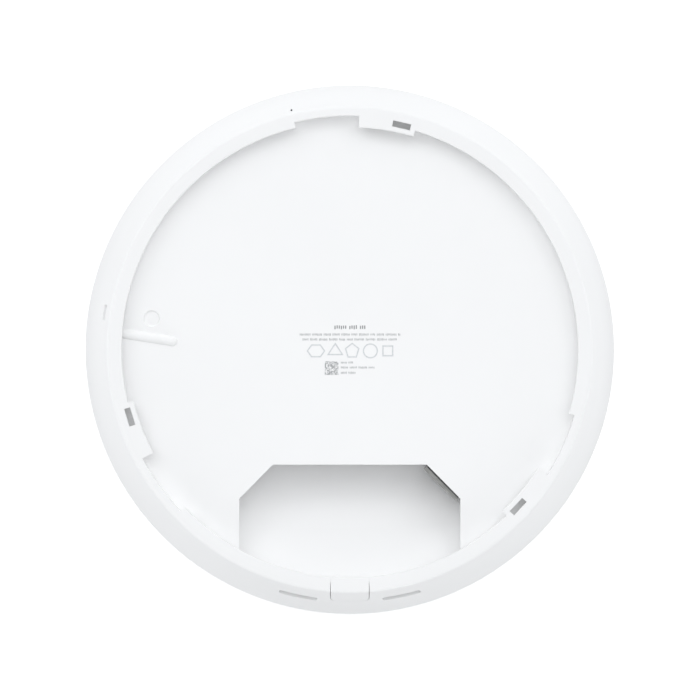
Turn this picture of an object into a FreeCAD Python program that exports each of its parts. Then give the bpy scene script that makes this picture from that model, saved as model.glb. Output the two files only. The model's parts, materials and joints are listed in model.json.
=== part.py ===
"""Ceiling access point, seen as it hangs: the mounting face is up, the light-ring face is down.

Millimetres. The origin is the centre of the flat rim that meets the ceiling, +Z points into the
ceiling, and the cable leaves towards -Y. Every separate physical piece is one STEP file in parts/.
"""
import FreeCAD, Part  # FreeCAD has to load before Part

import math
import os

V = FreeCAD.Vector
Z_AXIS = V(0, 0, 1)
ORIGIN = V(0, 0, 0)

# --- Overall body -----------------------------------------------------------------------------
BODY_R = 103.0  # widest radius
BODY_H = 46.0  # rim face to the lowest point of the front
WALL = 2.3  # moulded wall thickness of the two shells

# --- Rear shell: flat rim, cone, bayonet ring ---------------------------------------------------
RIM_LIP_R = 87.4  # inner edge of the flat rim
RIM_FLAT_R = 92.9  # where the flat rim breaks into the cone
CONE_DROP = math.tan(math.radians(60))  # fall of the cone per millimetre of radius
SIDE_R = 40.0  # large round that carries the cone on into the upright side
CONE_FOOT = -(BODY_R - RIM_FLAT_R) * CONE_DROP  # where the cone alone would reach the widest radius
WIDEST_Z = CONE_FOOT - SIDE_R * math.tan(math.radians(15))
LIP_T = 2.0  # thickness of the rim lip and of the bayonet tabs
GUTTER_R = 89.7  # wall of the undercut that the bracket hooks run in
SEAM_Z = -21.0  # lower edge of the rear shell
TONGUE_Z = -25.0  # lower edge of the tongue that enters the front dome
TONGUE_IN = 98.4
TONGUE_OUT = 99.9
STATIONS = [77.0, 197.0, 317.0]  # the three bayonet stations, at their detent slots
TAB_R = 85.1
TAB_FROM, TAB_TO = -3.6, 10.7  # degrees from the station's detent slot
NOTCH_TO = 26.7
DETENT_R = 88.1
DETENT_LONG, DETENT_WIDE = 7.0, 2.4
WINDOW_LONG, WINDOW_WIDE = 8.4, 3.6  # openings in the back plate under the detent slots
SEAL_LAP, SEAL_T = 1.2, 1.0  # foam seals under those openings
SNAP_ANGLES = [30, 90, 150, 210, 270, 330]
SNAP_HALF = 3.0  # half width of a snap bump, in degrees
SNAP_Z = -23.3  # middle of the snap bumps
VENT_FROM, VENT_TO = 7.4, 16.4  # degrees each side of the cable door
VENT_TOP, VENT_LOW = -5.6, -7.9
SLIT_ANGLE = 171.4  # slit for the tool that frees the bracket's lock tongue
SLIT_HALF = 1.8
SLIT_TOP, SLIT_LOW = -3.1, -4.9
RESET_R, RESET_ANGLE = 94.5, 103.7
PINHOLE_R = 0.38

# --- Back plate ---------------------------------------------------------------------------------
PLATE_TOP = -6.0
PLATE_T = 1.5
PLATE_LOW = PLATE_TOP - PLATE_T
PLATE_R = 93.2
PLATE_SCREW_R = 91.6
PLATE_SCREW_ANGLES = [20, 60, 120, 150, 215, 325]
LOCK_ANGLE = 171.1  # radial line of the lock dimple
DIMPLE_AT, DIMPLE_R, DIMPLE_DEEP = 77.1, 3.25, 0.7
RIB_OFFSET = 7.3  # of the stop rib, sideways from the dimple's line
RIB_FROM, RIB_TO = 65.8, 89.0
RIB_HALF, RIB_HIGH = 1.9, 1.4

# --- Cable pocket -------------------------------------------------------------------------------
POCKET_TOP_Y = -44.2
POCKET_HALF = 42.5
POCKET_CORNER_X, POCKET_CORNER_Y = 29.6, -57.3
POCKET_FLOOR = -23.0
RAMP_FROM_Y, RAMP_TO_Y = -63.0, -87.0
LINER_T = 1.5
LINER_GAP = 0.3  # the liner's wall stands back from the plate's edge

# --- Cable door ---------------------------------------------------------------------------------
DOOR_HALF = 7.3
DOOR_GAP = 0.25
DOOR_LOW = -6.6
DOOR_T = 1.8
DOOR_CORNER = 2.0
DOOR_FOOT_LOW = -8.2

# --- Front dome ---------------------------------------------------------------------------------
DOME_TOP = SEAM_Z - 0.25
DOME_EDGE_R = 16.0  # round between the side and the front
DOME_FACE_R = 2500.0  # the front is a very shallow cap
RING_HOLE_R = 27.0
RING_IN, RING_OUT = 24.2, 26.9
RING_FLANGE_TOP, RING_FLANGE_LOW = -42.4, -43.5
CAP_R = 24.1

# --- Boards -------------------------------------------------------------------------------------
BOARD_TOP = -21.8
BOARD_T = 1.6
BOARD_LOW = BOARD_TOP - BOARD_T
BOARD_R = 97.2
BOARD_END_Y = -62.0
SPACERS = [(76, 36), (36, 80), (-36, 80), (-84, 18), (-66, -52), (72, -42), (-8, -33), (-8, 42)]
SPACER_R = 2.6
LED_TOP = -39.2
LED_LOW = -40.4
LED_COUNT = 12
LED_BOSS_R = 33.0
LED_BOSS_ANGLES = [90, 210, 330]

CAPACITORS = [(-48, -32), (-58, -30), (-76, -34)]

# --- Heat sink and shields ----------------------------------------------------------------------
SINK_LOW, SINK_BASE_TOP = -18.5, -16.0
SINK_X, SINK_Y = (-14.0, 68.0), (-24.0, 66.0)
FIN_T, FIN_PITCH = 1.2, 5.0
SHIELD_TOP = -19.5
SHIELD_WALL = 0.3
SHIELDS = {  # name: centre x, y and size x, y
    "processor_shield": (10.0, 12.0, 34.0, 34.0),
    "radio_shield_2ghz": (48.0, 40.0, 28.0, 22.0),
    "radio_shield_5ghz": (50.0, 10.0, 28.0, 22.0),
    "radio_shield_6ghz": (12.0, 52.0, 26.0, 20.0),
}

# --- Ethernet jack ------------------------------------------------------------------------------
JACK_LONG, JACK_WIDE, JACK_HIGH = 21.3, 17.0, 13.5
JACK_PROUD = 2.0  # how far the jack stands into the pocket
JACK_WALL = 0.4
GASKET_PROUD = 0.55  # how far the foam strip over the jack shows past the plate's edge
SOCKET_WIDE, SOCKET_HIGH, SOCKET_DEEP = 11.8, 7.0, 13.0
KEYWAYS = [(6.2, 1.5), (3.4, 1.5)]  # the two steps of the latch keyway: width, height

# --- Blower -------------------------------------------------------------------------------------
FAN_X, FAN_Y = -48.0, 14.0
FAN_TOP, FAN_LOW = -8.3, -17.5
FAN_OUT_R, FAN_IN_R = 25.5, 24.2
FAN_COVER_T = 1.0
BLADES = 23


# === Helpers ====================================================================================
def polar(r, degrees, z=0.0):
    a = math.radians(degrees)
    return V(r * math.cos(a), r * math.sin(a), z)


def cone_r(z):
    """Radius of the rear shell's outer cone at height z."""
    return RIM_FLAT_R - z / CONE_DROP


def cone_in_r(z, wall=WALL):
    """Radius of the cone's inner face at height z."""
    return cone_r(z) - wall / math.cos(math.radians(30))


def side_r(z, inset=0.0):
    """Radius of the large side round at height z, inset into the wall."""
    return BODY_R - SIDE_R + math.sqrt((SIDE_R - inset) ** 2 - (z - WIDEST_Z) ** 2)


def rounded_edges(corners, place):
    """Edges of a closed outline. A corner is (u, v) or (u, v, radius); place maps (u, v) to 3-D."""
    count = len(corners)
    cuts = []
    for i, corner in enumerate(corners):
        here = V(corner[0], corner[1], 0)
        radius = corner[2] if len(corner) > 2 else 0.0
        if not radius:
            cuts.append((here, None, here))
            continue
        back = V(corners[i - 1][0], corners[i - 1][1], 0) - here
        ahead = V(corners[(i + 1) % count][0], corners[(i + 1) % count][1], 0) - here
        back.normalize()
        ahead.normalize()
        half = back.getAngle(ahead) / 2
        reach = radius / math.tan(half)
        middle = back + ahead
        middle.normalize()
        crown = here + middle * (radius / math.sin(half) - radius)
        cuts.append((here + back * reach, crown, here + ahead * reach))
    edges = []
    for i, (start, crown, end) in enumerate(cuts):
        following = cuts[(i + 1) % count][0]
        if crown is not None:
            edges.append(Part.Arc(place(start), place(crown), place(end)).toShape())
        if (following - end).Length > 1e-6:
            edges.append(Part.LineSegment(place(end), place(following)).toShape())
    return edges


def face_of(edges):
    return Part.Face(Part.Wire(edges))


def revolved(corners, start=0.0, sweep=360.0):
    """Solid of revolution about Z from an outline of (r, z[, corner radius])."""
    face = face_of(rounded_edges(corners, lambda p: V(p.x, 0, p.y)))
    solid = face.revolve(ORIGIN, Z_AXIS, sweep)
    solid.rotate(ORIGIN, Z_AXIS, start)
    return solid


def ring(r_in, r_out, z_low, z_top):
    return Part.makeCylinder(r_out, z_top - z_low, V(0, 0, z_low)).cut(
        Part.makeCylinder(r_in, z_top - z_low, V(0, 0, z_low))
    )


def sector(r_in, r_out, z_low, z_top, start, end):
    """Piece of a ring between two angles in degrees."""
    return revolved([(r_in, z_low), (r_out, z_low), (r_out, z_top), (r_in, z_top)], start, end - start)


def box(x, y, z):
    """Box from three (low, high) pairs."""
    return Part.makeBox(x[1] - x[0], y[1] - y[0], z[1] - z[0], V(x[0], y[0], z[0]))


def block(x, y, wide, deep, z_low, z_top):
    """Box about a centre in plan."""
    return box((x - wide / 2, x + wide / 2), (y - deep / 2, y + deep / 2), (z_low, z_top))


def prism(corners, z_low, z_top):
    """Upright solid from a plan outline of (x, y[, corner radius])."""
    face = face_of(rounded_edges(corners, lambda p: V(p.x, p.y, z_low)))
    return face.extrude(V(0, 0, z_top - z_low))


def prism_along_y(corners, y_low, y_high):
    """Solid from an outline of (x, z[, corner radius]), drawn out along Y."""
    face = face_of(rounded_edges(corners, lambda p: V(p.x, y_low, p.y)))
    return face.extrude(V(0, y_high - y_low, 0))


def prism_along_x(corners, half):
    """Solid from an outline of (y, z[, corner radius]), drawn out along X to both sides."""
    face = face_of(rounded_edges(corners, lambda p: V(-half, p.x, p.y)))
    return face.extrude(V(2 * half, 0, 0))


def rod(x, y, r, z_low, z_top):
    return Part.makeCylinder(r, z_top - z_low, V(x, y, z_low))


def turned(shape, degrees):
    copy = shape.copy()
    copy.rotate(ORIGIN, Z_AXIS, degrees)
    return copy


def moved(shape, x, y, z=0.0):
    copy = shape.copy()
    copy.translate(V(x, y, z))
    return copy


def pan_screw(x, y, z_under_head, length, r, points_up=True):
    """Pan-head cross-recess screw. Its shank leaves the head's seat upwards or downwards."""
    head_r, head_h = 1.9 * r, 1.3 * r
    shank = Part.makeCylinder(r, length)
    tip = Part.makeCone(r, 0.55 * r, 0.4 * r, V(0, 0, length))
    corners = [(0, 0), (head_r, 0), (head_r, -head_h, 0.7 * r), (0, -head_h)]
    head = revolved(corners)
    slot = 0.36 * r
    recess = box((-0.95 * r, 0.95 * r), (-slot / 2, slot / 2), (-head_h - 1, -0.45 * head_h))
    screw = head.fuse([shank, tip]).cut([recess, turned(recess, 90)])
    if not points_up:
        screw.rotate(ORIGIN, V(1, 0, 0), 180)
    return moved(screw, x, y, z_under_head)


def save(name, *shapes):
    """Writes one node. Several shapes stay separate solids of that node."""
    solids = [s for shape in shapes for s in shape.removeSplitter().Solids]
    whole = solids[0] if len(solids) == 1 else Part.makeCompound(solids)
    for s in solids:
        if not s.isValid() or s.Volume <= 0:
            raise ValueError(f"{name} has a bad solid")
    whole.exportStep(os.path.join("parts", name + ".step"))
    print(f"{name}: {len(solids)} solid(s), {sum(s.Volume for s in solids):.0f} mm3")


# === Casing =====================================================================================
def door_opening(half, z_low, y_range=(-101.0, -84.0)):
    """The hole for the cable door, or the door's own side faces, as a rounded upright prism."""
    corners = [(-half, z_low, DOOR_CORNER), (half, z_low, DOOR_CORNER), (half, 3.0), (-half, 3.0)]
    return prism_along_y(corners, *y_range)


def vent_slot(start, end):
    """Round-ended slot through the cone, cut level."""
    high = VENT_TOP - VENT_LOW
    middle = (VENT_TOP + VENT_LOW) / 2
    inset = math.degrees(high / 2 / cone_r(middle))
    cut = [sector(93.0, 101.0, VENT_LOW, VENT_TOP, start + inset, end - inset)]
    for angle in (start + inset, end - inset):
        cut.append(Part.makeCylinder(high / 2, 8.0, polar(93.0, angle, middle), polar(1, angle)))
    return cut[0].fuse(cut[1:])


def detent_slot(angle):
    return turned(block(DETENT_R, 0, DETENT_WIDE, DETENT_LONG, -LIP_T - 1, 1), angle)


def plate_window(angle):
    return turned(block(DETENT_R, 0, WINDOW_WIDE, WINDOW_LONG, PLATE_LOW - 1, PLATE_TOP + 1), angle)


def slot_seal(angle):
    wide, long = WINDOW_WIDE + 2 * SEAL_LAP, WINDOW_LONG + 2 * SEAL_LAP
    return turned(block(DETENT_R, 0, wide, long, PLATE_LOW - SEAL_T, PLATE_LOW), angle)


def rear_shell():
    outline = [
        (RIM_LIP_R, 0, 0.35),
        (RIM_FLAT_R, 0, 1.2),
        (BODY_R, CONE_FOOT, SIDE_R),
        (BODY_R, WIDEST_Z - 1),
        (TONGUE_IN, WIDEST_Z - 1),
        (TONGUE_IN, -(TONGUE_IN - cone_in_r(0)) * CONE_DROP, 4.0),
        (cone_in_r(PLATE_TOP), PLATE_TOP),
        (GUTTER_R, PLATE_TOP),
        (GUTTER_R, -LIP_T, 0.3),
        (RIM_LIP_R, -LIP_T, 0.3),
    ]
    tab = [
        (TAB_R, 0, 0.35),
        (GUTTER_R + 0.4, 0),
        (GUTTER_R + 0.4, -LIP_T),
        (TAB_R, -LIP_T, 0.35),
    ]
    tabs = [revolved(tab, s + TAB_FROM, TAB_TO - TAB_FROM) for s in STATIONS]
    guide_at = polar(RESET_R, RESET_ANGLE)
    guide = rod(guide_at.x, guide_at.y, 2.7, -14.0, -7.7)
    inside = revolved([(0, -30), (97, -30), (BODY_R - 1, -18), (cone_r(-7) - 1, -7), (0, -7)])
    shell = revolved(outline).fuse(tabs + [guide.common(inside)])
    cuts = [
        ring(TONGUE_OUT, BODY_R + 1, WIDEST_Z - 2, SEAM_Z),
        ring(TONGUE_IN - 1, BODY_R + 1, WIDEST_Z - 2, TONGUE_Z),
        door_opening(DOOR_HALF + DOOR_GAP, DOOR_LOW - 0.1),
    ]
    for s in STATIONS:
        cuts.append(sector(80.0, GUTTER_R, -LIP_T - 1, 1, s + TAB_TO, s + NOTCH_TO))
        cuts.append(detent_slot(s))
    cuts.append(vent_slot(270 + VENT_FROM, 270 + VENT_TO))
    cuts.append(vent_slot(270 - VENT_TO, 270 - VENT_FROM))
    cuts.append(sector(88.0, 99.0, SLIT_LOW, SLIT_TOP, SLIT_ANGLE - SLIT_HALF, SLIT_ANGLE + SLIT_HALF))
    cuts.append(rod(guide_at.x, guide_at.y, PINHOLE_R, -9.0, 1.0))
    cuts.append(rod(guide_at.x, guide_at.y, 1.3, -15.0, -8.6))
    for a in PLATE_SCREW_ANGLES:
        p = polar(PLATE_SCREW_R, a)
        cuts.append(rod(p.x, p.y, 0.87, PLATE_TOP - 1, -2.6))
    for a in SNAP_ANGLES:
        hole = (TONGUE_IN - 0.5, TONGUE_OUT + 0.5, SNAP_Z - 0.8, SNAP_Z + 0.8)
        cuts.append(sector(*hole, a - SNAP_HALF - 0.4, a + SNAP_HALF + 0.4))
    return shell.cut(cuts)


def cap_arc(r_from, r_to, inset):
    """Arc of the shallow front face between two radii, inset into the wall."""
    centre, radius = DOME_FACE_R - BODY_H, DOME_FACE_R - inset

    def on_face(r):
        return V(r, 0, centre - math.sqrt(radius**2 - r**2))

    return on_face(r_from), on_face((r_from + r_to) / 2), on_face(r_to)


def edge_centre():
    """Centre of the round between the dome's side and its face, in (r, z)."""
    r = BODY_R - DOME_EDGE_R
    drop = math.sqrt((DOME_FACE_R - DOME_EDGE_R) ** 2 - r**2)
    return r, DOME_FACE_R - BODY_H - drop


def dome_skin(inset):
    """Edges of the dome's outer surface, or of one inset from it, from the top edge inwards."""
    r_c, z_c = edge_centre()
    lean = math.asin(r_c / (DOME_FACE_R - DOME_EDGE_R))
    radius = DOME_EDGE_R - inset
    side = V(r_c + radius, 0, z_c)
    meet = V(r_c + radius * math.sin(lean), 0, z_c - radius * math.cos(lean))
    turn = (math.pi / 2 + lean) / 2
    crown = V(r_c + radius * math.sin(turn), 0, z_c - radius * math.cos(turn))
    face = cap_arc(meet.x, RING_HOLE_R, inset)
    top = V(side_r(DOME_TOP, inset), 0, DOME_TOP)
    z_bow = (DOME_TOP + WIDEST_Z) / 2
    bow, widest = V(side_r(z_bow, inset), 0, z_bow), V(BODY_R - inset, 0, WIDEST_Z)
    edges = [
        Part.Arc(top, bow, widest).toShape(),
        Part.LineSegment(widest, side).toShape(),
        Part.Arc(side, crown, meet).toShape(),
        Part.Arc(*face).toShape(),
    ]
    return edges, top, face[2]


def front_dome():
    outer, top_out, hole_out = dome_skin(0.0)
    inner, top_in, hole_in = dome_skin(WALL)
    lip = [Part.LineSegment(top_out, top_in).toShape(), Part.LineSegment(hole_out, hole_in).toShape()]
    wire = Part.Wire(Part.__sortEdges__(outer + inner + lip))
    shell = Part.Face(wire).revolve(ORIGIN, Z_AXIS, 360)
    adds = []
    for a in SNAP_ANGLES:
        bump = (TONGUE_OUT - 0.7, side_r(SNAP_Z, WALL) + 0.3, SNAP_Z - 0.6, SNAP_Z + 0.6)
        adds.append(sector(*bump, a - SNAP_HALF, a + SNAP_HALF))
    floor = cap_arc(LED_BOSS_R, LED_BOSS_R + 1, WALL)[0].z
    for a in LED_BOSS_ANGLES:
        p = polar(LED_BOSS_R, a)
        adds.append(rod(p.x, p.y, 2.6, floor - 0.5, LED_LOW))
    for i in range(12):
        rib = box((42.0, 84.0), (-0.6, 0.6), (floor - 0.5, floor + 2.2))
        adds.append(turned(rib, 15 + 30 * i))
    cuts = []
    for a in LED_BOSS_ANGLES:
        p = polar(LED_BOSS_R, a)
        cuts.append(rod(p.x, p.y, 0.87, floor + 0.4, LED_LOW + 1))
    return shell.fuse(adds).cut(cuts)


def capped_disc(r_in, r_out, z_top):
    """Ring or disc whose lower face follows the shallow front."""
    low_out = cap_arc(r_in, r_out, 0.0)
    edges = [
        Part.Arc(*low_out).toShape(),
        Part.LineSegment(low_out[2], V(r_out, 0, z_top)).toShape(),
        Part.LineSegment(V(r_out, 0, z_top), V(r_in, 0, z_top)).toShape(),
        Part.LineSegment(V(r_in, 0, z_top), low_out[0]).toShape(),
    ]
    return face_of(edges).revolve(ORIGIN, Z_AXIS, 360)


def light_ring():
    flange = ring(22.2, 29.6, RING_FLANGE_LOW, RING_FLANGE_TOP)
    return capped_disc(RING_IN, RING_OUT, RING_FLANGE_TOP - 0.3).fuse(flange)


def center_cap():
    return capped_disc(0.0, CAP_R, RING_FLANGE_LOW)


def pocket_plan(grow, z_low, z_top):
    """The pocket's outline in plan, grown outwards, running past the rim."""
    slant = grow * math.tan(math.radians(22.5))
    corner_x, corner_y = POCKET_CORNER_X + slant, POCKET_CORNER_Y + slant
    half, top = POCKET_HALF + grow, POCKET_TOP_Y + grow
    right = [(half, -105), (half, corner_y), (corner_x, top)]
    corners = right + [(-x, y) for x, y in reversed(right)]
    return prism(corners, z_low, z_top)


def back_plate():
    disc = rod(0, 0, PLATE_R, PLATE_LOW, PLATE_TOP)
    rib_r = (RIB_HALF**2 + RIB_HIGH**2) / (2 * RIB_HIGH)
    start = V(RIB_FROM + rib_r, RIB_OFFSET, PLATE_TOP + RIB_HIGH - rib_r)
    bar = Part.makeCylinder(rib_r, RIB_TO - start.x, start, V(1, 0, 0))
    nose = Part.makeSphere(rib_r, start, V(-1, 0, 0), 0, 90, 360)
    above = box((RIB_FROM - 5, RIB_TO + 5), (RIB_OFFSET - 5, RIB_OFFSET + 5), (PLATE_TOP - 0.4, 0))
    rib = turned(bar.fuse(nose).common(above), LOCK_ANGLE)
    bowl = [(0, 1), (0, -DIMPLE_DEEP), (DIMPLE_R - 0.5, -DIMPLE_DEEP, 0.3), (DIMPLE_R, 0), (DIMPLE_R, 1)]
    dimple = revolved(bowl)
    at = polar(DIMPLE_AT, LOCK_ANGLE, PLATE_TOP)
    cuts = [pocket_plan(0.0, -10, 0), moved(dimple, at.x, at.y, PLATE_TOP)]
    cuts += [plate_window(s) for s in STATIONS]
    for a in PLATE_SCREW_ANGLES:
        p = polar(PLATE_SCREW_R, a)
        cuts.append(rod(p.x, p.y, 1.15, -9, 0))
    for x, y in liner_ears() + fan_ears():
        cuts.append(rod(x, y, 0.87, PLATE_LOW - 1, PLATE_TOP - 0.4))
    return disc.fuse(rib).cut(cuts)


def liner_ears():
    return [(-20.0, -39.6), (20.0, -39.6), (-47.6, -66.0), (47.6, -66.0)]


def above_floor(drop):
    """Everything above the pocket's floor and ramp, lowered square to its surface by drop."""
    slope = math.atan2(PLATE_TOP - POCKET_FLOOR, RAMP_FROM_Y - RAMP_TO_Y)
    shift = drop * math.tan(slope / 2)
    corners = [
        (-30.0, 5.0),
        (-30.0, POCKET_FLOOR - drop),
        (RAMP_FROM_Y - shift, POCKET_FLOOR - drop, 20.0 + drop),
        (RAMP_TO_Y - shift, PLATE_TOP - drop, 6.0 - drop),
        (-105.0, PLATE_TOP - drop),
        (-105.0, 5.0),
    ]
    return prism_along_x(corners, 60.0)


def jack_placed(shape):
    """From the jack's own frame (mouth at x = 0, facing +X) to its seat at the pocket's corner."""
    middle_x = (POCKET_CORNER_X + POCKET_HALF) / 2
    middle_y = (POCKET_TOP_Y + POCKET_CORNER_Y) / 2
    step = JACK_PROUD / math.sqrt(2)
    return moved(turned(shape, 225), middle_x - step, middle_y - step, BOARD_TOP)


def pocket_liner():
    wall = LINER_GAP + LINER_T
    tray = pocket_plan(wall, -40, 0).common(above_floor(LINER_T))
    tray = tray.cut(pocket_plan(LINER_GAP, -40, 1).common(above_floor(0.0)))
    below_plate = box((-60, 60), (-105, 0), (-40, PLATE_LOW))
    in_bite = pocket_plan(-0.25, -40, 1)
    tray = tray.common(below_plate.fuse(in_bite))
    tray = tray.common(rod(0, 0, PLATE_R, -40, 1))
    ears = []
    ear_z = (PLATE_LOW - LINER_T, PLATE_LOW)
    for x, y in liner_ears():
        ears.append(rod(x, y, 3.2, *ear_z))
        if abs(x) < POCKET_CORNER_X:
            ears.append(box((x - 3.2, x + 3.2), (POCKET_TOP_Y + 1, y), ear_z))
        else:
            ears.append(box(sorted((x, 0.9 * x)), (y - 3.2, y + 3.2), ear_z))
    tray = tray.fuse(ears).cut(pocket_plan(LINER_GAP, PLATE_LOW - 5, 1).common(above_floor(0.0)))
    mouth = block(-1, 0, 12, JACK_WIDE + 0.3, -0.2, 20)
    door_room = box((-8.2, 8.2), (-105, -91.4), (-12, 1))
    holes = [rod(x, y, 1.15, -12, 0) for x, y in liner_ears()]
    return tray.cut([jack_placed(mouth), door_room] + holes)


def cable_door():
    slant = DOOR_T / math.cos(math.radians(30))
    skin = [
        (RIM_LIP_R, 0, 0.35),
        (RIM_FLAT_R, 0, 1.2),
        (cone_r(DOOR_LOW - 1), DOOR_LOW - 1),
        (cone_r(DOOR_LOW - 1) - slant, DOOR_LOW - 1),
        (cone_r(-DOOR_T) - slant, -DOOR_T),
        (RIM_LIP_R, -DOOR_T, 0.35),
    ]
    cover = revolved(skin, 260, 20).common(door_opening(DOOR_HALF, DOOR_LOW))
    foot = box((-5.5, 5.5), (-93.0, -91.8), (DOOR_FOOT_LOW, -DOOR_T + 0.4))
    ribs = [box((x - 0.5, x + 0.5), (-93.0, -89.0), (-4.5, -DOOR_T + 0.4)) for x in (-5.0, 5.0)]
    return cover.fuse([foot] + ribs)


def plate_screws():
    made = []
    for a in PLATE_SCREW_ANGLES:
        p = polar(PLATE_SCREW_R, a)
        made.append(pan_screw(p.x, p.y, PLATE_LOW, 4.2, 0.85))
    return made


# === Reset button ===============================================================================
def reset_parts():
    at = polar(RESET_R, RESET_ANGLE)
    top, collar, end = -9.2, -14.3, BOARD_TOP + 3.6
    stem = rod(0, 0, 1.2, collar, top)
    dish = Part.makeSphere(0.8, V(0, 0, top + 0.3))
    plunger = stem.fuse([rod(0, 0, 2.0, collar - 0.8, collar), rod(0, 0, 1.2, end, collar)]).cut(dish)
    well = rod(0, 0, 1.05, BOARD_TOP + 1.4, BOARD_TOP + 4)
    body = block(0, 0, 4.5, 4.5, BOARD_TOP, BOARD_TOP + 2.8).cut(well)
    cap = rod(0, 0, 0.95, BOARD_TOP + 2.1, end)
    legs = [
        block(x, y, 0.7, 0.5, BOARD_TOP, BOARD_TOP + 0.9) for x in (-1.6, 1.6) for y in (-2.5, 2.5)
    ]
    switch = body.fuse(legs)
    placed = [moved(turned(s, RESET_ANGLE), at.x, at.y) for s in (plunger, cap, switch)]
    return dict(zip(("reset_plunger", "reset_switch_cap", "reset_switch"), placed))


# === Boards and what is on them =================================================================
def main_board():
    disc = rod(0, 0, BOARD_R, BOARD_LOW, BOARD_TOP)
    keep = box((-100, 100), (BOARD_END_Y, 100), (BOARD_LOW, BOARD_TOP))
    cuts = [pocket_plan(3.2, -40, 0)]
    cuts += [rod(x, y, 1.6, BOARD_LOW, BOARD_TOP) for x, y in SPACERS]
    return disc.common(keep).cut(cuts)


def board_spacers():
    made = []
    for x, y in SPACERS:
        corners = [tuple((V(x, y, 0) + polar(SPACER_R, 60 * i))[:2]) for i in range(6)]
        made.append(prism(corners, BOARD_TOP, PLATE_LOW).cut(rod(x, y, 1.27, BOARD_TOP - 1, BOARD_TOP + 8)))
    return made


def board_screws():
    return [pan_screw(x, y, BOARD_LOW, 6.5, 1.25) for x, y in SPACERS]


def led_board():
    disc = ring(15.0, 36.5, LED_LOW, LED_TOP)
    cuts = []
    for a in LED_BOSS_ANGLES:
        p = polar(LED_BOSS_R, a)
        cuts.append(rod(p.x, p.y, 1.15, LED_LOW, LED_TOP))
    return disc.cut(cuts)


def status_leds():
    r = (RING_IN + RING_OUT) / 2
    lamp = block(r, 0, 1.6, 3.0, LED_LOW - 0.8, LED_LOW)
    return [turned(lamp, 360 * i / LED_COUNT) for i in range(LED_COUNT)]


def led_board_screws():
    made = []
    for a in LED_BOSS_ANGLES:
        p = polar(LED_BOSS_R, a)
        made.append(pan_screw(p.x, p.y, LED_TOP, 3.2, 0.85, points_up=False))
    return made


def ribbon():
    """Flat lead from the light board up to the main board, with a slack bend."""
    y, half, thick = 20.0, 4.0, 0.3
    low, high = LED_TOP + 2.2, BOARD_LOW - 2.2
    middle = (low + high) / 2
    outer = [(y, low - 1.2), (y, low), (y + 5, middle, 3.0), (y, high), (y, high + 1.2)]
    inner = [(u + thick, v, 3.0 - thick) if len(rest) else (u + thick, v) for u, v, *rest in outer]
    return prism_along_x(outer + inner[::-1], half)


def ribbon_sockets():
    made = []
    for low, high, gap in ((LED_TOP, LED_TOP + 2.0, 0.8), (BOARD_LOW - 2.0, BOARD_LOW, -0.8)):
        body = block(0, 20.15, 11.0, 3.4, low, high)
        slot = (low + gap, high + 1) if gap > 0 else (low - 1, high + gap)
        made.append(body.cut(box((-4.05, 4.05), (19.95, 20.35), slot)))
    return made


def shield(x, y, wide, deep):
    can = block(x, y, wide, deep, BOARD_TOP, SHIELD_TOP)
    walls = 2 * SHIELD_WALL
    room = block(x, y, wide - walls, deep - walls, BOARD_TOP - 1, SHIELD_TOP - SHIELD_WALL)
    holes = []
    for i in range(-2, 3):
        for side in (-1, 1):
            hole_x, hole_y = x + i * wide / 6, y + side * (deep / 2 - 2.2)
            holes.append(rod(hole_x, hole_y, 0.6, SHIELD_TOP - 1, SHIELD_TOP + 1))
    return can.cut([room] + holes)


def thermal_pads():
    return [block(x, y, wide - 8, deep - 8, SHIELD_TOP, SINK_LOW) for x, y, wide, deep in SHIELDS.values()]


def chips():
    """Processor, memory and radio chips under the shields."""
    x, y, _, _ = SHIELDS["processor_shield"]
    processor = block(x - 4, y + 3, 17, 17, BOARD_TOP, BOARD_TOP + 1.4)
    memory = [block(x + 11, y + s * 8, 8, 12, BOARD_TOP, BOARD_TOP + 1.0) for s in (-1, 1)]
    radios = []
    for name in ("radio_shield_2ghz", "radio_shield_5ghz", "radio_shield_6ghz"):
        x, y, _, _ = SHIELDS[name]
        radios.append(block(x - 4, y, 9, 9, BOARD_TOP, BOARD_TOP + 0.9))
        radios += [block(x + 6, y + 5 * s, 3, 3, BOARD_TOP, BOARD_TOP + 0.75) for s in (-1, 0, 1)]
    return [processor], memory, radios


def heat_sink():
    base = box(SINK_X, SINK_Y, (SINK_LOW, SINK_BASE_TOP))
    fins = []
    y = SINK_Y[0] + 2.0
    while y < SINK_Y[1]:
        fins.append(box(SINK_X, (y, y + FIN_T), (SINK_BASE_TOP, PLATE_LOW)))
        y += FIN_PITCH
    cuts = [rod(x, y, 4.2, SINK_LOW - 1, PLATE_LOW + 1) for x, y in SPACERS]
    cuts += [rod(x, y, 3.4, SINK_BASE_TOP, PLATE_LOW + 1) for x, y in sink_screw_places()]
    cuts += [rod(x, y, 1.3, SINK_LOW - 1, SINK_BASE_TOP + 1) for x, y in sink_screw_places()]
    return base.fuse(fins).common(rod(0, 0, 86.0, -30, 0)).cut(cuts)


def sink_screw_places():
    return [(-9.0, -18.0), (60.0, -18.0), (-9.0, 60.0), (60.0, 58.0)]


def sink_screws():
    return [pan_screw(x, y, SINK_BASE_TOP, 4.9, 1.0, points_up=False) for x, y in sink_screw_places()]


def sink_nuts():
    """Soldered nuts on the board that the heat sink's screws enter."""
    made = []
    for x, y in sink_screw_places():
        nut = rod(x, y, 2.4, BOARD_TOP, SINK_LOW)
        made.append(nut.cut(rod(x, y, 1.03, BOARD_TOP + 0.3, SINK_LOW + 1)))
    return made


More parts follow.
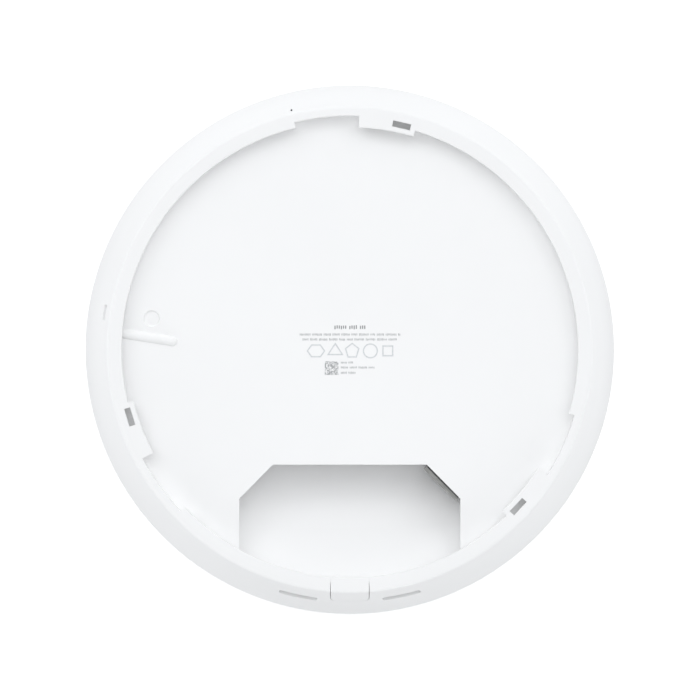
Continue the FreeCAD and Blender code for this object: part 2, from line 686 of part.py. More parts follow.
def power_parts():
    """Power-over-Ethernet parts on the board's ceiling side."""
    core = block(-31, -33, 17, 13, BOARD_TOP + 1.0, BOARD_TOP + 10.5)
    window = block(-31, -33, 12, 15, BOARD_TOP + 3.2, BOARD_TOP + 8.3)
    winding = block(-31, -33, 11.6, 11, BOARD_TOP, BOARD_TOP + 8.1)
    transformer = core.cut(window).fuse(winding)
    cans = [rod(x, y, 4.0, BOARD_TOP, BOARD_TOP + 10.5) for x, y in CAPACITORS]
    coils = []
    for x, y in ((-62, -42), (-52, -43.5), (62, -30)):
        coil = block(x, y, 7, 7, BOARD_TOP, BOARD_TOP + 3.0)
        coils.append(coil.makeFillet(0.8, [e for e in coil.Edges if abs(e.BoundBox.ZLength - 3.0) < 0.01]))
    magnetics = []
    for x, y, wide in ((5.5, -33.5, 14), (26.5, -32.0, 13)):
        magnetics.append(block(x, y, wide, 10, BOARD_TOP, BOARD_TOP + 5.8))
    return [transformer], cans, coils, magnetics


# === Ethernet jack ==============================================================================
def socket_void(grow=0.0):
    """Room for the plug, in the jack's own frame: mouth at x = 0, the latch towards the ceiling."""
    low = 2.0 - grow
    half = SOCKET_WIDE / 2 + grow
    void = box((-SOCKET_DEEP, 1), (-half, half), (low, low + SOCKET_HIGH + 2 * grow))
    z = low + SOCKET_HIGH + 2 * grow
    steps = []
    for wide, high in KEYWAYS:
        steps.append(box((-SOCKET_DEEP, 1), (-wide / 2 - grow, wide / 2 + grow), (z - 0.01, z + high)))
        z += high
    return void.fuse(steps)


def jack_springs():
    """Windows in the sides of the jack's shield, and the grounding blades that cross them."""
    windows, blades = [], []
    for side in (-1, 1):
        y = side * (JACK_WIDE / 2 - 0.2)
        for z in (4.0, 8.5):
            windows.append(box((-9.0, -3.0), (y - 1, y + 1), (z, z + 1.6)))
            blades.append(box((-9.3, -3.0), (y - 0.1, y + 0.1), (z + 0.3, z + 1.3)))
    return windows, blades


def jack_parts():
    half = JACK_WIDE / 2
    inner_x = (-JACK_LONG + JACK_WALL, -JACK_WALL)
    inner_y = (-half + JACK_WALL, half - JACK_WALL)
    inner_top = JACK_HIGH - JACK_WALL
    windows, blades = jack_springs()
    flare = box((-0.5, 0), (-half - 0.35, half + 0.35), (JACK_HIGH - 0.4, JACK_HIGH + 0.25))
    shell = box((-JACK_LONG, 0), (-half, half), (0, JACK_HIGH))
    shell = shell.cut([box(inner_x, inner_y, (-1, inner_top)), socket_void(0.25)] + windows)
    shell = shell.fuse(blades + [flare])
    contact_room = box((-SOCKET_DEEP - 0.5, -2.5), (-4.3, 4.3), (1.0, 2.5))
    insert = box(inner_x, inner_y, (0, inner_top)).cut([socket_void(), contact_room])
    wires = []
    for i in range(8):
        y = (i - 3.5) * 1.02
        foot = [(-12.8, 1.35), (-3.0, 1.35), (-3.0, 1.7)]
        corners = foot + [(-10.6, 4.6), (-10.9, 4.3), (-5.0, 1.75), (-12.8, 1.75)]
        wires.append(prism_along_y(corners, y - 0.17, y + 0.17))
    return [jack_placed(shell)], [jack_placed(insert)], [jack_placed(w) for w in wires]


def jack_gasket():
    """Foam strip squeezed between the jack's shield and the back plate, along the pocket's corner."""
    half = JACK_WIDE / 2 - 0.2
    along = (-JACK_PROUD - 3.0, -JACK_PROUD + GASKET_PROUD)
    return jack_placed(box(along, (-half, half), (JACK_HIGH, PLATE_LOW - BOARD_TOP)))


# === Antennas ===================================================================================
def dual_band_antenna():
    """Stamped inverted-F antenna that hangs under the main board, in its own frame."""
    low = BOARD_LOW - 9.5
    plate = block(0, 0, 26, 12, low, low + 0.5)
    slots = [block(4, 2.0, 15, 1.2, low - 1, low + 1), block(-9, -1.5, 1.2, 7, low - 1, low + 1)]
    legs = [
        box((-13, -12.5), (-3, 3), (low, BOARD_LOW)),
        box((-6, -3), (-6, -5.5), (low, BOARD_LOW)),
        box((9, 12), (5.5, 6), (low + 0.5 - 4.0, low + 0.5)),
    ]
    return plate.cut(slots).fuse(legs)


def high_band_antenna():
    low = BOARD_LOW - 6.0
    plate = prism([(-8, -8, 1.5), (8, -8, 1.5), (8, 8, 1.5), (-8, 8, 1.5)], low, low + 0.5)
    slot = block(0, 0, 1.0, 9, low - 1, low + 1)
    posts = [rod(x, y, 1.0, low + 0.5, BOARD_LOW) for x in (-6, 6) for y in (-6, 6)]
    return plate.cut(slot).fuse(posts)


# === Blower =====================================================================================
def fan_ears():
    return [(FAN_X - 27.5, FAN_Y + 8.0), (FAN_X - 6.0, FAN_Y - 28.0), (FAN_X + 4.0, FAN_Y + 28.0)]


def volute(radius, low_y, high_y, z_low, z_top):
    """Round chamber with a straight outlet towards +X, about the blower's own axis."""
    chamber = rod(0, 0, radius, z_low, z_top)
    return chamber.fuse(box((0, 31.5), (low_y, high_y), (z_low, z_top)))


def fan_parts():
    base_low = FAN_LOW + FAN_COVER_T
    body = volute(FAN_OUT_R, -2.0, FAN_OUT_R, base_low, FAN_TOP)
    room = volute(FAN_IN_R, -0.7, FAN_IN_R, base_low - 1, FAN_TOP - 1.0)
    room = room.fuse(box((20, 33), (-0.7, FAN_IN_R), (base_low - 1, FAN_TOP - 1.0)))
    tube = ring(2.6, 3.4, -14.5, FAN_TOP - 0.9)
    ears = []
    for x, y in fan_ears():
        px, py = x - FAN_X, y - FAN_Y
        reach = math.hypot(px, py)
        arm = box((FAN_OUT_R - 1.5, reach), (-2.4, 2.4), (FAN_TOP - 1.2, FAN_TOP))
        ear = turned(arm, math.degrees(math.atan2(py, px))).fuse(rod(px, py, 2.4, FAN_TOP - 1.2, PLATE_LOW))
        ears.append(ear.cut([rod(px, py, 1.15, FAN_TOP - 3, 0), rod(0, 0, FAN_IN_R, -30, 0)]))
    ear_holes = [rod(px, py, 1.15, -12, 0) for px, py in ear_offsets()]
    housing = body.cut(room).fuse([tube] + ears).cut(ear_holes)
    cover = volute(FAN_OUT_R, -2.0, FAN_OUT_R, FAN_LOW, base_low).cut(rod(0, 0, 14.8, FAN_LOW, base_low))
    bearing = ring(1.03, 2.6, -14.5, FAN_TOP - 1.0)
    core = ring(3.4, 7.6, -13.8, -11.2)
    gaps = [turned(box((4.6, 9), (-1.1, 1.1), (-15, -10)), 45 + 90 * i) for i in range(4)]
    coils = [turned(block(5.6, 0, 1.8, 4.4, -14.6, -10.4), 90 * i) for i in range(4)]
    stator = core.cut(gaps).fuse(coils)
    return {
        "fan_housing": housing,
        "fan_cover": cover,
        "fan_bearing": bearing,
        "fan_stator": stator,
        "fan_rotor": fan_rotor(),
        "fan_magnet": ring(8.3, 9.4, -14.9, -10.6),
        "fan_shaft": rod(0, 0, 1.0, -15.4, FAN_TOP - 1.6),
    }


def ear_offsets():
    return [(x - FAN_X, y - FAN_Y) for x, y in fan_ears()]


def fan_rotor():
    floor_low, floor_top = -16.2, -15.0
    outside = [(0, floor_low), (10.4, floor_low, 0.8), (10.4, -9.9)]
    cup = revolved(outside + [(9.4, -9.9), (9.4, floor_top), (0, floor_top)])
    cup = cup.cut(rod(0, 0, 1.0, -15.4, -14.0))
    disc = ring(10.2, 19.6, -10.5, -9.9)
    blade = box((0, 8.4), (-0.3, 0.3), (-15.8, -10.4))
    blades = []
    for i in range(BLADES):
        angle = 360.0 * i / BLADES
        leaned = moved(turned(blade, 32), 12.4, 0)
        blades.append(turned(leaned, angle))
    rim = ring(18.9, 19.6, -15.8, -15.2)
    return cup.fuse([disc, rim] + blades)


def fan_screws():
    return [pan_screw(x, y, FAN_TOP - 1.2, 2.7, 0.85) for x, y in fan_ears()]


def fan_lead():
    """Short lead from the blower's side to its plug on the board, straight runs with tangent arcs."""
    route = [
        V(FAN_X - 14, FAN_Y - 21.5, -15.0),
        V(FAN_X - 17, FAN_Y - 26.5, -15.0),
        V(FAN_X - 17, FAN_Y - 31.0, -20.0),
        V(FAN_X - 17, FAN_Y - 36.5, -20.0),
    ]
    edges = []
    last = route[0]
    for a, b, c in zip(route, route[1:], route[2:]):
        back, ahead = a - b, c - b
        reach = 0.45 * min(back.Length, ahead.Length)
        half = back.getAngle(ahead) / 2
        radius = reach * math.tan(half)
        back.normalize()
        ahead.normalize()
        middle = back + ahead
        middle.normalize()
        start, end = b + back * reach, b + ahead * reach
        crown = b + middle * (radius / math.sin(half) - radius)
        print(f"fan_lead arc radius {radius:.1f}")
        edges.append(Part.LineSegment(last, start).toShape())
        edges.append(Part.Arc(start, crown, end).toShape())
        last = end
    edges.append(Part.LineSegment(last, route[-1]).toShape())
    path = Part.Wire(edges)
    section = Part.Wire(Part.makeCircle(0.8, route[0], route[1] - route[0]))
    return path.makePipeShell([section], True, False)


def fan_plug():
    body = block(FAN_X - 17, FAN_Y - 39.5, 6.0, 6.0, BOARD_TOP, BOARD_TOP + 3.6)
    return body


# === The assembly ===============================================================================
def main():
    os.makedirs("parts", exist_ok=True)
    save("rear_shell", rear_shell())
    save("front_dome", front_dome())
    save("light_ring", light_ring())
    save("center_cap", center_cap())
    save("back_plate", back_plate())
    save("slot_seals", *[slot_seal(s) for s in STATIONS])
    save("pocket_liner", pocket_liner())
    save("cable_door", cable_door())
    save("plate_screws", *plate_screws())
    save("liner_screws", *[pan_screw(x, y, PLATE_LOW - LINER_T, 2.2, 0.85) for x, y in liner_ears()])

    for name, shape in reset_parts().items():
        save(name, shape)

    save("main_board", main_board())
    save("board_spacers", *board_spacers())
    save("board_screws", *board_screws())
    save("led_board", led_board())
    save("status_leds", *status_leds())
    save("led_board_screws", *led_board_screws())
    save("led_ribbon", ribbon())
    save("ribbon_sockets", *ribbon_sockets())

    for name, place in SHIELDS.items():
        save(name, shield(*place))
    save("thermal_pads", *thermal_pads())
    for name, group in zip(("processor_chip", "memory_chips", "radio_chips"), chips()):
        save(name, *group)
    save("heat_sink", heat_sink())
    save("heat_sink_screws", *sink_screws())
    save("heat_sink_nuts", *sink_nuts())
    names = ("power_transformer", "power_capacitors", "power_coils", "network_magnetics")
    for name, group in zip(names, power_parts()):
        save(name, *group)
    for name, group in zip(("jack_shield", "jack_insert", "jack_contacts"), jack_parts()):
        save(name, *group)
    save("jack_gasket", jack_gasket())

    for i, angle in enumerate((45, 135, 205, 335), 1):
        p = polar(72.0, angle)
        save(f"dual_band_antenna_{i}", moved(turned(dual_band_antenna(), angle + 90), p.x, p.y))
    for i, (x, y) in enumerate(((-22, 60), (26, 56)), 1):
        save(f"high_band_antenna_{i}", moved(high_band_antenna(), x, y))

    for name, shape in fan_parts().items():
        save(name, moved(shape, FAN_X, FAN_Y))
    save("fan_screws", *fan_screws())
    save("fan_lead", fan_lead())
    save("fan_plug", fan_plug())


main()
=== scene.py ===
"""Looks for the ceiling access point, lying on its front with the mounting side up.

Metres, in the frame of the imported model: +Z out of the mounting side, -Y towards the cable's way out.
The CAD nodes keep their shapes and get procedural materials. The printed block on the back plate is
added here, as thin ink pieces with no lettering.
"""
import json
import math
import random

import bmesh
import bpy
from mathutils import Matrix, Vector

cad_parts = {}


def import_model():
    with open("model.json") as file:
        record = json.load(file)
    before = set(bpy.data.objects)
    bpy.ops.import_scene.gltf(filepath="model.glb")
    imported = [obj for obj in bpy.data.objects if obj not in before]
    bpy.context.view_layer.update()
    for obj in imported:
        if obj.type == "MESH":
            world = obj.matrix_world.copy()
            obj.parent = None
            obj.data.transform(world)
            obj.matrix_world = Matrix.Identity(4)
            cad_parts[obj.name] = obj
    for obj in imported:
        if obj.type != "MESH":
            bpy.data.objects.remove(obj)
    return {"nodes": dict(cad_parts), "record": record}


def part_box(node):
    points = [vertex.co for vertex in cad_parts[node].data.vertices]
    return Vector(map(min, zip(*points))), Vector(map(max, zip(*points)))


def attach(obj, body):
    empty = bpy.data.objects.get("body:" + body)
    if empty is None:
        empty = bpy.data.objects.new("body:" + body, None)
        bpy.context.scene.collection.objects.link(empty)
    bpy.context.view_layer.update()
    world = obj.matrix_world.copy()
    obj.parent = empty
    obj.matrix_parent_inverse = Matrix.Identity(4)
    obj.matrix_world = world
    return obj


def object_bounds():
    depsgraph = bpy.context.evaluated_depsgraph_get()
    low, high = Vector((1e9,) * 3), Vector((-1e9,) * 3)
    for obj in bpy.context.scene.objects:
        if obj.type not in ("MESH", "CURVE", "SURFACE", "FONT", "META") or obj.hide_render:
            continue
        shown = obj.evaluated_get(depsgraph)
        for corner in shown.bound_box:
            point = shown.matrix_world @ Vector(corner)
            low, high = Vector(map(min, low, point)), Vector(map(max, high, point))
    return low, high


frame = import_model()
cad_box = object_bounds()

MM = 0.001
MICRON = 0.000001
PLATE_T = 1.5 * MM  # the back plate's sheet
MIX_A, MIX_B, MIX_RESULT = 6, 7, 2  # places of a Mix node's colour sockets


# === Node helpers ===============================================================================
class Shader:
    """A new material's node tree, with short ways to add and join nodes."""

    def __init__(self, name):
        self.material = bpy.data.materials.new(name)
        self.material.use_nodes = True
        self.tree = self.material.node_tree
        self.tree.nodes.clear()
        output = self.tree.nodes.new("ShaderNodeOutputMaterial")
        self.bsdf = self.tree.nodes.new("ShaderNodeBsdfPrincipled")
        self.join(self.bsdf, "BSDF", output, "Surface")
        self.place = self.tree.nodes.new("ShaderNodeTexCoord")

    def join(self, a, a_socket, b, b_socket):
        self.tree.links.new(a.outputs[a_socket], b.inputs[b_socket])

    def set(self, **values):
        """Constants on the shader's own sockets, named with _ for a space."""
        for key, value in values.items():
            self.bsdf.inputs[key.replace("_", " ")].default_value = value

    def noise(self, scale, detail=2.0, rough=0.5, stretch=(1, 1, 1)):
        """Noise in the piece's own coordinates; scale is per metre."""
        node = self.tree.nodes.new("ShaderNodeTexNoise")
        node.inputs["Scale"].default_value = scale
        node.inputs["Detail"].default_value = detail
        node.inputs["Roughness"].default_value = rough
        mapping = self.tree.nodes.new("ShaderNodeMapping")
        mapping.inputs["Scale"].default_value = stretch
        self.join(self.place, "Object", mapping, "Vector")
        self.join(mapping, "Vector", node, "Vector")
        return node, "Fac"

    def cells(self, scale):
        """Distance to the nearest of some scattered points; scale is per metre."""
        node = self.tree.nodes.new("ShaderNodeTexVoronoi")
        node.inputs["Scale"].default_value = scale
        self.join(self.place, "Object", node, "Vector")
        return node, "Distance"

    def ramp(self, source, *stops):
        """Colours from a 0..1 source; a stop is (place, (r, g, b))."""
        node = self.tree.nodes.new("ShaderNodeValToRGB")
        ramp = node.color_ramp
        for i, (at, colour) in enumerate(stops):
            stop = ramp.elements[i] if i < 2 else ramp.elements.new(at)
            stop.position = at
            stop.color = (*colour, 1.0)
        self.join(source[0], source[1], node, "Fac")
        return node, "Color"

    def colour(self, source):
        self.join(source[0], source[1], self.bsdf, "Base Color")

    def roughness(self, source, low, high):
        """Roughness from low to high, over the middle of the source's range."""
        node = self.tree.nodes.new("ShaderNodeMapRange")
        node.inputs["From Min"].default_value = 0.3
        node.inputs["From Max"].default_value = 0.7
        node.inputs["To Min"].default_value = low
        node.inputs["To Max"].default_value = high
        self.join(source[0], source[1], node, "Value")
        self.join(node, "Result", self.bsdf, "Roughness")

    def bump(self, *layers):
        """Stacked bumps; a layer is (source, height in metres)."""
        last = None
        for source, height in layers:
            node = self.tree.nodes.new("ShaderNodeBump")
            node.inputs["Strength"].default_value = 1.0
            node.inputs["Distance"].default_value = height
            self.join(source[0], source[1], node, "Height")
            if last:
                self.join(last, "Normal", node, "Normal")
            last = node
        self.join(last, "Normal", self.bsdf, "Normal")


def tint(rgb, factor):
    return tuple(min(1.0, c * factor) for c in rgb)


# === Materials ==================================================================================
def moulded_white(name, rgb, grain=12 * MICRON):
    """Matt white plastic with the fine spark-eroded texture of the tool."""
    s = Shader(name)
    fine, broad = s.noise(2600, detail=3.0, rough=0.6), s.noise(22)
    s.colour(s.ramp(broad, (0.3, tint(rgb, 0.985)), (0.7, rgb)))
    s.roughness(s.noise(160, detail=3.0), 0.40, 0.50)
    s.bump((fine, grain), (s.noise(60, detail=1.0), 10 * MICRON))
    s.set(IOR=1.5, Specular_IOR_Level=0.5)
    return s.material


def coated_white(name, rgb):
    """Powder-coated sheet: a smoother skin with slight orange peel."""
    s = Shader(name)
    s.colour(s.ramp(s.noise(14, detail=3.0), (0.3, tint(rgb, 0.985)), (0.7, rgb)))
    s.roughness(s.noise(220), 0.36, 0.46)
    s.bump((s.noise(900), 10 * MICRON), (s.noise(2600, detail=1.0), 4 * MICRON))
    s.set(IOR=1.5, Coat_Weight=0.08, Coat_Roughness=0.35)
    return s.material


def milky(name, rgb):
    """Milky diffuser plastic."""
    s = Shader(name)
    s.colour(s.ramp(s.noise(40), (0.3, tint(rgb, 0.97)), (0.7, rgb)))
    s.roughness(s.noise(300), 0.22, 0.32)
    s.bump((s.noise(1500), 4 * MICRON))
    s.set(Subsurface_Weight=0.5, Subsurface_Scale=2 * MM, Transmission_Weight=0.15, IOR=1.49)
    return s.material


def metal(name, rgb, rough=0.3, lay=(1, 1, 1), grain=4 * MICRON):
    """Bare or plated metal; lay stretches its brushing."""
    s = Shader(name)
    brushed = s.noise(900, detail=4.0, rough=0.6, stretch=lay)
    s.colour(s.ramp(brushed, (0.25, tint(rgb, 0.86)), (0.75, rgb)))
    s.roughness(s.noise(350, detail=3.0, stretch=lay), rough - 0.06, rough + 0.08)
    s.bump((brushed, grain))
    s.set(Metallic=1.0)
    return s.material


def moulded_dark(name, rgb, rough=0.5):
    """Coloured or dark moulding, mottled by its filler."""
    s = Shader(name)
    s.colour(s.ramp(s.noise(300, detail=4.0), (0.3, tint(rgb, 0.8)), (0.7, tint(rgb, 1.25))))
    s.roughness(s.noise(500, detail=3.0), rough - 0.08, rough + 0.08)
    s.bump((s.noise(2200, detail=3.0), 10 * MICRON))
    return s.material


def laminate(name, rgb):
    """Circuit board: solder mask over copper planes, with vias."""
    s = Shader(name)
    planes = s.cells(90)
    vias = s.ramp(s.cells(420), (0.10, (0.62, 0.50, 0.26)), (0.14, rgb))
    mix = s.tree.nodes.new("ShaderNodeMix")
    mix.data_type = "RGBA"
    mix.blend_type = "MULTIPLY"
    mix.inputs["Factor"].default_value = 0.6
    s.join(vias[0], vias[1], mix, MIX_A)
    shade = s.ramp(planes, (0.35, (0.75, 0.75, 0.75)), (0.40, (1, 1, 1)))
    s.join(shade[0], shade[1], mix, MIX_B)
    s.colour((mix, MIX_RESULT))
    s.roughness(s.noise(500), 0.28, 0.38)
    s.bump((planes, 30 * MICRON), (s.noise(1600), 10 * MICRON))
    return s.material


def soft(name, rgb):
    """Silicone pad or sleeve, or foam."""
    s = Shader(name)
    s.colour(s.ramp(s.noise(400, detail=3.0), (0.3, tint(rgb, 0.9)), (0.7, rgb)))
    s.roughness(s.noise(300), 0.6, 0.75)
    s.bump((s.noise(1200, detail=3.0), 20 * MICRON))
    return s.material


def lamp(name, rgb):
    """Clear lens over yellow phosphor."""
    s = Shader(name)
    s.colour(s.ramp(s.cells(900), (0.2, (0.95, 0.80, 0.25)), (0.5, rgb)))
    s.roughness(s.noise(400), 0.10, 0.20)
    s.bump((s.noise(1500), 4 * MICRON))
    s.set(Coat_Weight=0.6, Coat_Roughness=0.1)
    return s.material


MAKERS = {  # slot: maker of its material, from the slot's name and colour
    "casing_white": lambda n, c: moulded_white(n, tint(c, 1.015)),
    "cap_white": moulded_white,
    "liner_white": lambda n, c: moulded_white(n, c, grain=8 * MICRON),
    "plate_white": coated_white,
    "diffuser": milky,
    "zinc_steel": lambda n, c: metal(n, c, rough=0.32),
    "board_green": laminate,
    "board_white": laminate,
    "lamp": lamp,
    "ribbon_film": lambda n, c: moulded_dark(n, c, rough=0.35),
    "connector_ivory": lambda n, c: moulded_dark(n, c, rough=0.45),
    "shield_tin": lambda n, c: metal(n, c, lay=(1, 12, 1)),
    "antenna_metal": lambda n, c: metal(n, c, rough=0.28, lay=(12, 1, 1)),
    "thermal_pad": soft,
    "chip_black": moulded_dark,
    "heat_sink_metal": lambda n, c: metal(n, c, rough=0.45, grain=20 * MICRON),
    "capacitor_can": lambda n, c: metal(n, c, lay=(1, 1, 10)),
    "ferrite": lambda n, c: moulded_dark(n, c, rough=0.6),
    # socket metal darkened to 0.68: partly a dull nickel, partly painted shade for the plate's shadow
    # on its top edge
    "jack_metal": lambda n, c: metal(n, tint(c, 0.68), rough=0.34, lay=(1, 1, 8)),
    # socket insert lightened by 1.2: painted light that lifts the shaded corner of the pocket beside
    # the socket
    "jack_grey": lambda n, c: moulded_dark(n, tint(c, 1.2)),
    "contact_gold": lambda n, c: metal(n, c, rough=0.22),
    "switch_black": moulded_dark,
    "plunger_grey": moulded_dark,
    "fan_black": moulded_dark,
    "fan_cover_metal": lambda n, c: metal(n, c, rough=0.35, lay=(10, 1, 1)),
    "bearing_bronze": lambda n, c: metal(n, c, rough=0.5),
    "stator_copper": lambda n, c: metal(n, c, rough=0.35, lay=(1, 1, 20), grain=30 * MICRON),
    "lead_sleeve": soft,
    # black foam, including the socket's gasket: its black line under the plate's edge is painted shade
    # for a shadowed gap
    "foam_black": soft,
    # grey foam pads under the tab slots: their grey is painted shade, standing for the shadow down the
    # slots
    "foam_grey": lambda n, c: soft(n, tint(c, 1.35)),
}


def dress_nodes():
    """Every CAD node gets the material of its slot."""
    record = frame["record"]
    colours = {m["slot"]: tuple(m["base_color"][:3]) for m in record["materials"]}
    made = {slot: MAKERS[slot](slot, colours[slot]) for slot in colours}
    for part in record["subparts"]:
        mesh = frame["nodes"][part["node"]].data
        mesh.materials.clear()
        mesh.materials.append(made[part["material_slot"]])


# === Printed block, in millimetres on the back plate ============================================
INK_THICK = 0.03 * MM  # this one is in metres
INK_SEED = 7
TITLE_TICK = (0.42, 0.40)  # a tick's width and the gap after it
ROW_TICK = (0.22, 0.26)
TITLE_ROW = (-5.9, 6.2, 8.6, 1.6)  # start, end, middle height and tallness
SMALL_ROWS = [
    (-19.2, 19.5, 5.8, 1.0),
    (-18.1, 18.4, 3.9, 1.0),
    (-3.4, 2.0, -5.0, 0.9),
    (-3.4, 9.7, -6.9, 0.9),
    (-3.4, 2.4, -8.9, 0.9),
]
TICK_REACH = (0.30, 0.5)  # least and most of the row's tallness, each way from its middle
WORD_TICKS = (4, 9)  # least and most ticks in a group

INK_SHAPES = [  # sides, middle x, half width, half height and the first corner's angle
    (6, -13.0, 3.6, 2.9, 0),
    (3, -5.6, 3.7, 3.3, 90),
    (5, 0.9, 3.0, 3.2, 90),
    (40, 7.9, 2.9, 2.9, 0),
    (4, 14.6, 3.0, 3.0, 45),
]
INK_SHAPES_Y = -0.5
INK_LINE = 0.5

DOT_CELL, DOT_COUNT = 0.26, 20
DOT_MARGIN = 0.01
DOT_CORNER = (-9.6, -4.5)
DOT_CHANCE = 0.55

TITLE_GREY, ROWS_GREY, SHAPES_GREY, DOTS_GREY = 0.27, 0.36, 0.72, 0.40


def ink_material(name, grey):
    """Pad-printed ink, slightly mottled and a little blue."""
    s = Shader(name)
    light, dark = (grey, grey * 1.02, grey * 1.04), (grey * 0.85, grey * 0.87, grey * 0.89)
    s.colour(s.ramp(s.noise(1800, detail=3.0), (0.35, dark), (0.65, light)))
    s.roughness(s.noise(900), 0.45, 0.6)
    s.bump((s.noise(3000), 4 * MICRON))
    return s.material


def add_prism(bm, points, z):
    """Thin closed prism over a plan outline."""
    low = [bm.verts.new((x * MM, y * MM, z)) for x, y in points]
    high = [bm.verts.new((x * MM, y * MM, z + INK_THICK)) for x, y in points]
    bm.faces.new(low[::-1])
    bm.faces.new(high)
    for i in range(len(points)):
        j = (i + 1) % len(points)
        bm.faces.new((low[i], low[j], high[j], high[i]))


def add_bar(bm, x_low, x_high, y_low, y_high, z):
    add_prism(bm, [(x_low, y_low), (x_high, y_low), (x_high, y_high), (x_low, y_high)], z)


def add_outline(bm, sides, x, half_x, half_y, start, z):
    """Outline of a stretched regular shape, as a thin closed ring."""
    rings = []
    for shrink in (0.0, INK_LINE / math.cos(math.pi / sides)):
        for height in (z, z + INK_THICK):
            ring = []
            for i in range(sides):
                a = math.radians(start) + math.tau * i / sides
                px = x + (half_x - shrink) * math.cos(a)
                py = INK_SHAPES_Y + (half_y - shrink) * math.sin(a)
                ring.append(bm.verts.new((px * MM, py * MM, height)))
            rings.append(ring)
    out_low, out_high, in_low, in_high = rings
    for i in range(sides):
        j = (i + 1) % sides
        bm.faces.new((out_low[i], out_low[j], out_high[j], out_high[i]))
        bm.faces.new((in_high[i], in_high[j], in_low[j], in_low[i]))
        bm.faces.new((out_high[i], out_high[j], in_high[j], in_high[i]))
        bm.faces.new((in_low[i], in_low[j], out_low[j], out_low[i]))


def add_row(bm, rng, row, tick, z):
    """A line of small ticks in word-like groups; none of them is a letter."""
    start, end, y, tall = row
    wide, gap = tick
    x, left = start, rng.randint(*WORD_TICKS)
    while x + wide <= end:
        low, high = y - tall * rng.uniform(*TICK_REACH), y + tall * rng.uniform(*TICK_REACH)
        add_bar(bm, x, x + wide, low, high, z)
        left -= 1
        x += wide + gap
        if left == 0:
            x += 2 * gap
            left = rng.randint(*WORD_TICKS)


def add_dots(bm, rng, z):
    """A square of random dots."""
    side = DOT_CELL - DOT_MARGIN
    for i in range(DOT_COUNT):
        for j in range(DOT_COUNT):
            if rng.random() < DOT_CHANCE:
                x, y = DOT_CORNER[0] + i * DOT_CELL, DOT_CORNER[1] - j * DOT_CELL
                add_bar(bm, x + DOT_MARGIN, x + side, y - side, y - DOT_MARGIN, z)


def print_piece(name, grey, bm):
    """One ink layer on the back plate."""
    mesh = bpy.data.meshes.new(name)
    bm.to_mesh(mesh)
    bm.free()
    ink = bpy.data.objects.new(name, mesh)
    bpy.context.scene.collection.objects.link(ink)
    mesh.materials.append(ink_material(name, grey))
    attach(ink, "casing")


def printed_block():
    """Ticks, simple outlines and a random dot square where the product's details are printed."""
    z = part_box("back_plate")[0].z + PLATE_T
    rng = random.Random(INK_SEED)
    title, rows, shapes, dots = [bmesh.new() for _ in range(4)]
    add_row(title, rng, TITLE_ROW, TITLE_TICK, z)
    for row in SMALL_ROWS:
        add_row(rows, rng, row, ROW_TICK, z)
    for shape in INK_SHAPES:
        add_outline(shapes, *shape, z)
    add_dots(dots, rng, z)
    print_piece("print_title", TITLE_GREY, title)
    print_piece("print_rows", ROWS_GREY, rows)
    print_piece("print_shapes", SHAPES_GREY, shapes)
    print_piece("print_dots", DOTS_GREY, dots)


# === Stage ======================================================================================
CAMERA_AWAY = 1.5
CAMERA_OFF_CENTRE = (0.00007, -0.00015)
PIXELS_PER_MM = 2.613  # at the rim
FRAME_PX, SENSOR_MM = 700, 36.0


def camera():
    """Straight above the mounting side, with a lens that gives the rim its scale."""
    data = bpy.data.cameras.new("camera")
    data.sensor_width = SENSOR_MM
    data.lens = PIXELS_PER_MM * 1000 * CAMERA_AWAY * SENSOR_MM / FRAME_PX
    cam = bpy.data.objects.new("camera", data)
    bpy.context.scene.collection.objects.link(cam)
    cam.location = (*CAMERA_OFF_CENTRE, CAMERA_AWAY)
    bpy.context.scene.camera = cam


LIGHT_TINT = (0.972, 0.985, 1.0)
EVEN_LIGHT = 0.28
SOFT_LIGHTS = [  # compass angle from +X, height above the horizon, sharpness, strength
    (0, 90, 60, 2.0),  # straight above, narrow
    (0, 90, 16, 0.5),  # straight above, broad
    (90, 72, 40, 1.0),  # two leaning over from the back
    (90, 55, 40, 1.0),
    (90, 0, 1, 0.5),  # the wall behind
    (45, 45, 20, 2.2),  # a pair over the back corners
    (135, 45, 20, 2.2),
    (0, -5, 12, 2.2),  # a pair low at the sides
    (180, -5, 12, 2.2),
    (270, 10, 15, 4.0),  # low in front
    (0, -90, 3, 0.8),  # glow of the ground
]


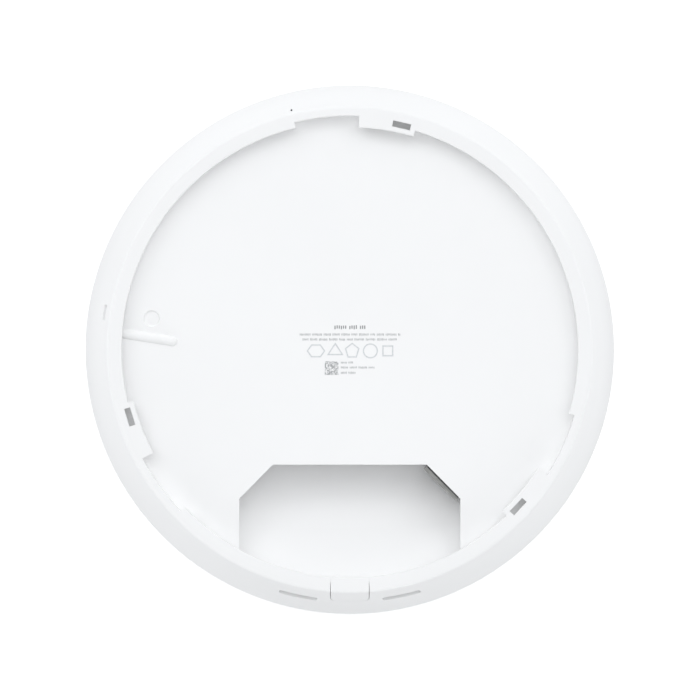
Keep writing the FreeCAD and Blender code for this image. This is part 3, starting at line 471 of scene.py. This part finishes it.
def world():
    """Soft studio surround: even light and a few broad white soft boxes."""
    studio = bpy.data.worlds.new("studio")
    bpy.context.scene.world = studio
    studio.use_nodes = True
    tree = studio.node_tree

    def math_node(operation, a, b):
        node = tree.nodes.new("ShaderNodeMath")
        node.operation = operation
        for socket, value in zip(node.inputs, (a, b)):
            if isinstance(value, float):
                socket.default_value = value
            else:
                tree.links.new(value, socket)
        return node.outputs[0]

    coord = tree.nodes.new("ShaderNodeTexCoord")
    total = EVEN_LIGHT
    for compass, height, sharpness, strength in SOFT_LIGHTS:
        level = math.cos(math.radians(height))
        across, along = math.cos(math.radians(compass)), math.sin(math.radians(compass))
        dot = tree.nodes.new("ShaderNodeVectorMath")
        dot.operation = "DOT_PRODUCT"
        dot.inputs[1].default_value = (level * across, level * along, math.sin(math.radians(height)))
        tree.links.new(coord.outputs["Generated"], dot.inputs[0])
        facing = math_node("MAXIMUM", dot.outputs["Value"], 0.0)
        lobe = math_node("POWER", facing, float(sharpness))
        total = math_node("ADD", total, math_node("MULTIPLY", lobe, strength))
    back = tree.nodes["Background"]
    back.inputs["Color"].default_value = (*LIGHT_TINT, 1)
    tree.links.new(total, back.inputs["Strength"])


FLOOR_SIZE = 6
FLOOR_WHITE = 0.9
FLOOR_GLOW = 0.37  # enough to show as pure white


def floor():
    """White ground under the object: it is seen, but sends no light to the object and blocks none."""
    bpy.ops.mesh.primitive_plane_add(size=FLOOR_SIZE, location=(0, 0, cad_box[0].z))
    plane = bpy.context.object
    plane.name = "floor"
    s = Shader("floor_white")
    s.set(Base_Color=(FLOOR_WHITE, FLOOR_WHITE, FLOOR_WHITE, 1), Roughness=0.9, Specular_IOR_Level=0.0)
    s.set(Emission_Color=(1, 1, 1, 1), Emission_Strength=FLOOR_GLOW)
    plane.data.materials.append(s.material)
    plane.visible_diffuse = False
    plane.visible_glossy = False
    plane.visible_shadow = False


def main():
    bpy.context.scene.view_settings.view_transform = "Standard"
    dress_nodes()
    printed_block()
    camera()
    world()
    floor()


main()
